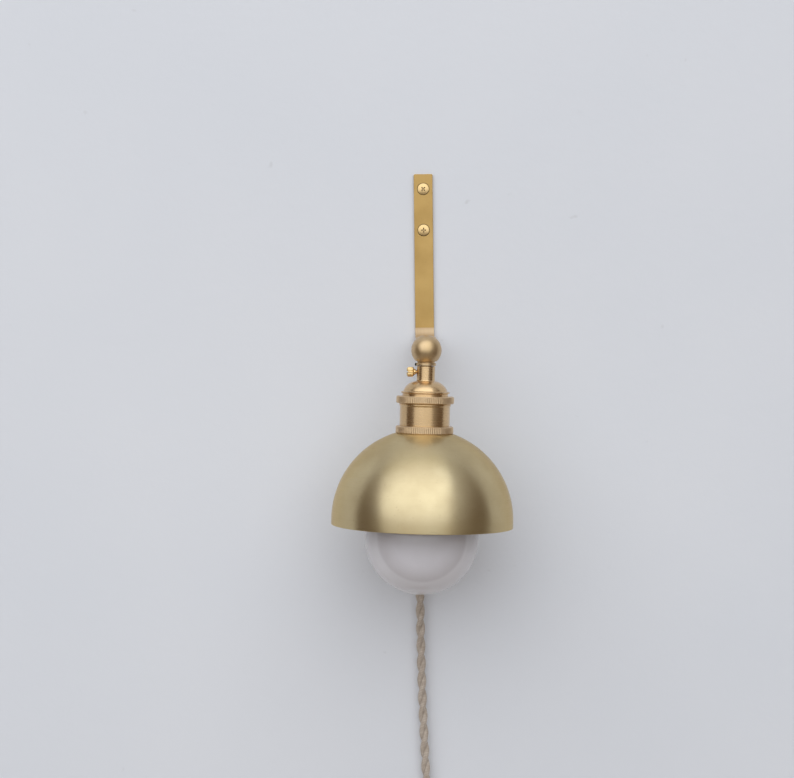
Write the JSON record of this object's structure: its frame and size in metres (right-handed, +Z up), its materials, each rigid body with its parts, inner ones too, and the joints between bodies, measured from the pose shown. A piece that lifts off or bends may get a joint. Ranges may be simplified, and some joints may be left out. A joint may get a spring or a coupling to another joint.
{
  "type": "pendant wall sconce",
  "caption": "Bent flat bar screwed to a wall carries a swivelling brass lamp holder, a half-round shade and an opal globe bulb, with a twisted cloth cord and plug.",
  "frame": {"origin": "on the wall plane, midway between the two wall screws, at the back of the flat bar", "axes": "+Z up, +Y into the wall, +X to the right of someone who faces the wall"},
  "size_m": [0.1518, 0.1998, 0.7185],
  "materials": {
    "brass_strip": "satin",
    "turned_brass": "brushed round",
    "spun_brass": "spun, brushed round",
    "bright_brass": "bright",
    "brassed_screw": "plated, slightly worn",
    "black_steel": "blackened",
    "nickel_steel": "plated",
    "nickel_blade": "bright plated",
    "porcelain": "glazed ceramic",
    "opal_glass": "opal, glossy",
    "clear_glass": "clear",
    "black_glass": "glossy black",
    "filament": "phosphor coating",
    "lead_cover": "smooth",
    "cord_cloth": "braided cotton, twisted pair",
    "tie_cloth": "hook-and-loop strap",
    "plug_shell": "moulded, half gloss"
  },
  "bodies": {
    "bracket": {"wall_bracket": "brass_strip", "wall_screws": "brassed_screw", "side_nipple": "turned_brass", "ball_washer": "turned_brass", "lock_washer": "nickel_steel", "lock_nut": "turned_brass", "cord_grip": "turned_brass", "cord_leads": "lead_cover", "cord_run": "cord_cloth", "cord_coil": "cord_cloth", "coil_tie": "tie_cloth", "cord_tail": "cord_cloth", "plug_relief": "plug_shell", "plug_body": "plug_shell", "plug_blades": "nickel_blade"},
    "ball": {"swivel_ball": "turned_brass", "stem_nipple": "turned_brass", "grub_screw": "black_steel"},
    "holder": {"socket_cap": "turned_brass", "socket_body": "turned_brass", "socket_insert": "porcelain", "screw_shell": "bright_brass", "centre_contact": "bright_brass", "terminal_screws": "nickel_steel", "holder_leads": "lead_cover", "dome_shade": "spun_brass"},
    "thumb_screw": {"thumb_screw": "turned_brass"},
    "cap_ring": {"cap_ring": "turned_brass"},
    "upper_shade_ring": {"upper_shade_ring": "turned_brass"},
    "lower_shade_ring": {"lower_shade_ring": "turned_brass"},
    "bulb": {"bulb_globe": "opal_glass", "bulb_cap": "nickel_steel", "bulb_insulator": "black_glass", "bulb_tip": "nickel_steel", "bulb_stem": "clear_glass", "bulb_filaments": "filament"}
  },
  "joints": [
    {"name": "lamp_swing", "type": "hinge", "parent": "bracket", "child": "ball", "pos_m": [0, -0.094, -0.1224], "axis": [0, -1, 0], "range_deg": [-60, 60]},
    {"name": "neck_turn", "type": "hinge", "parent": "ball", "child": "holder", "pos_m": [0, -0.094, -0.1224], "axis": [-0.0349, 0, -0.9994], "range_deg": [-170, 170]},
    {"name": "thumb_screw_turn", "type": "hinge", "parent": "holder", "child": "thumb_screw", "pos_m": [-0.00064, -0.094, -0.14069], "axis": [-0.9994, 0, 0.0349], "range_deg": [0, 720]},
    {"name": "cap_ring_turn", "type": "hinge", "parent": "holder", "child": "cap_ring", "pos_m": [-0.00144, -0.094, -0.16367], "axis": [0.0349, 0, 0.9994], "range_deg": [0, 360]},
    {"name": "upper_ring_turn", "type": "hinge", "parent": "holder", "child": "upper_shade_ring", "pos_m": [-0.00231, -0.094, -0.18866], "axis": [-0.0349, 0, -0.9994], "range_deg": [0, 1080]},
    {"name": "lower_ring_turn", "type": "hinge", "parent": "holder", "child": "lower_shade_ring", "pos_m": [-0.00255, -0.094, -0.19536], "axis": [-0.0349, 0, -0.9994], "range_deg": [0, 1080]},
    {"name": "bulb_out", "type": "slide", "parent": "holder", "child": "bulb", "axis": [-0.0349, 0, -0.9994], "range_m": [0, 0.026]}
  ]
}
